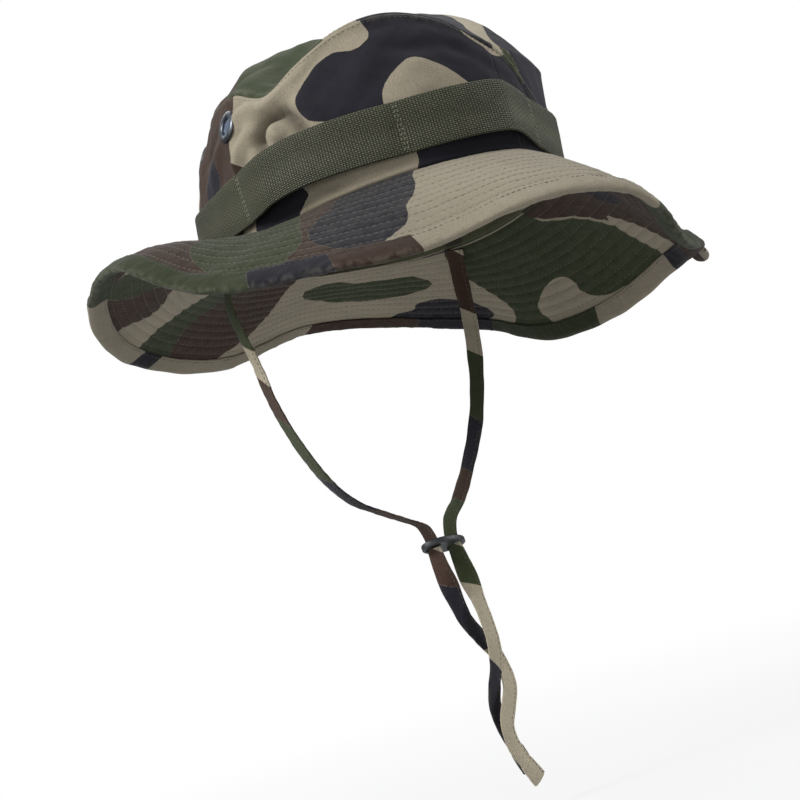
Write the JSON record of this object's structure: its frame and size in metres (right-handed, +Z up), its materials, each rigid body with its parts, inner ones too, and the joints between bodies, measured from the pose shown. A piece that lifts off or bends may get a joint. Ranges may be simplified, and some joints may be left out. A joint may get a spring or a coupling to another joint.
{
  "type": "boonie hat",
  "caption": "Soft boonie hat with a screened crown, quilted wavy brim, webbing foliage band and a chin strap held by a sliding lock.",
  "frame": {"origin": "centre of the head opening, at the height of the seam between crown and brim", "axes": "+Z up along the crown; -Y the way the wearer looks; -X the wearer's right"},
  "size_m": [0.2736, 0.3229, 0.3871],
  "materials": {
    "camouflage_cloth": "matte cotton twill, four-colour woodland camouflage",
    "brim_cloth": "matte quilted cotton twill, four-colour woodland camouflage",
    "binding_cloth": "matte cotton twill strip, four-colour woodland camouflage",
    "lining_cloth": "matte olive cotton",
    "interlining": "stiff unbleached interlining",
    "band_webbing": "woven olive nylon webbing, slight sheen",
    "thread": "matte polyester sewing thread",
    "vent_metal": "dark enamelled brass, satin",
    "vent_screen": "fine woven wire screen, satin",
    "strap_cloth": "matte folded cotton tape, four-colour woodland camouflage",
    "slider_plastic": "dark grey moulded nylon, satin"
  },
  "bodies": {
    "hat": {"band_tack_1": "thread", "band_tack_2": "thread", "band_tack_3": "thread", "band_tack_4": "thread", "band_tack_5": "thread", "band_tack_6": "thread", "band_tack_7": "thread", "binding_lap": "binding_cloth", "brim_binding": "binding_cloth", "brim_interlining": "interlining", "brim_lower": "brim_cloth", "brim_upper": "brim_cloth", "crown_seam_tape": "lining_cloth", "crown_side_left": "camouflage_cloth", "crown_side_right": "camouflage_cloth", "crown_top": "camouflage_cloth", "foliage_band": "band_webbing", "strap_anchor_left": "thread", "strap_anchor_right": "thread", "sweatband": "lining_cloth", "vent_eyelet_1": "vent_metal", "vent_eyelet_2": "vent_metal", "vent_eyelet_3": "vent_metal", "vent_eyelet_4": "vent_metal", "vent_screen_1": "vent_screen", "vent_screen_2": "vent_screen", "vent_screen_3": "vent_screen", "vent_screen_4": "vent_screen", "vent_washer_1": "vent_metal", "vent_washer_2": "vent_metal", "vent_washer_3": "vent_metal", "vent_washer_4": "vent_metal"},
    "chin_strap": {"strap_strand_right": "strap_cloth", "strap_strand_left": "strap_cloth", "strap_tail_right": "strap_cloth", "strap_tail_left": "strap_cloth"},
    "slider": {"strap_slider": "slider_plastic"}
  },
  "joints": [
    {"name": "strap_swing", "type": "hinge", "parent": "hat", "child": "chin_strap", "pos_m": [0, 0.036, -0.008], "axis": [1, 0, 0], "range_deg": [-35, 35]},
    {"name": "slider_slide", "type": "slide", "parent": "chin_strap", "child": "slider", "axis": [0, 0, -1], "range_m": [0, 0.075], "deforming": ["strap_strand_right", "strap_strand_left", "strap_tail_right", "strap_tail_left"]}
  ]
}
